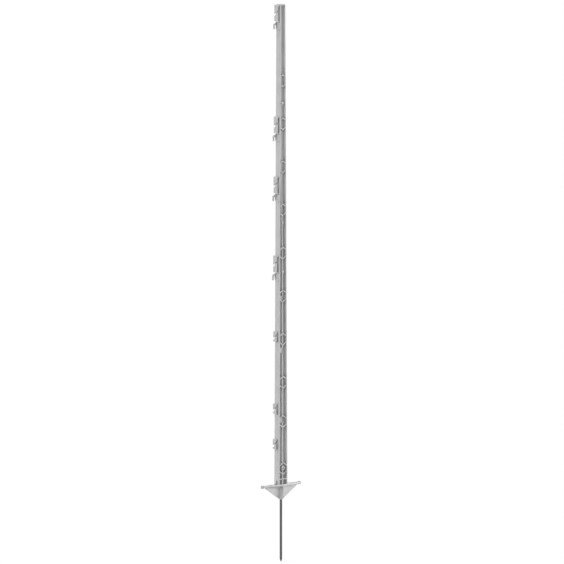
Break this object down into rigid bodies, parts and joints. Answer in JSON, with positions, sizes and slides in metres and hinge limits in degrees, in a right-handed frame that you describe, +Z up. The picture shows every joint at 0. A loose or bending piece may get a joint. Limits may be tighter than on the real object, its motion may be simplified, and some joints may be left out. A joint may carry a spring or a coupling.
{
  "type": "plastic fence post",
  "caption": "Step-in electric fence post: tapering ribbed I section with slit tape clips and rope hooks, a foot step with crossed fins and a steel ground spike.",
  "frame": {"origin": "on the post's axis, at the underside of the step, where it meets the ground", "axes": "+Z up along the post, -Y towards the front with the tape clips and hooks, X across the two channels"},
  "size_m": [0.024, 0.1544, 1.5603],
  "materials": {
    "plastic": "satin white moulded plastic",
    "steel": "dull drawn steel rod"
  },
  "bodies": {
    "root": {"post": "plastic", "ground_spike": "steel"}
  },
  "joints": []
}
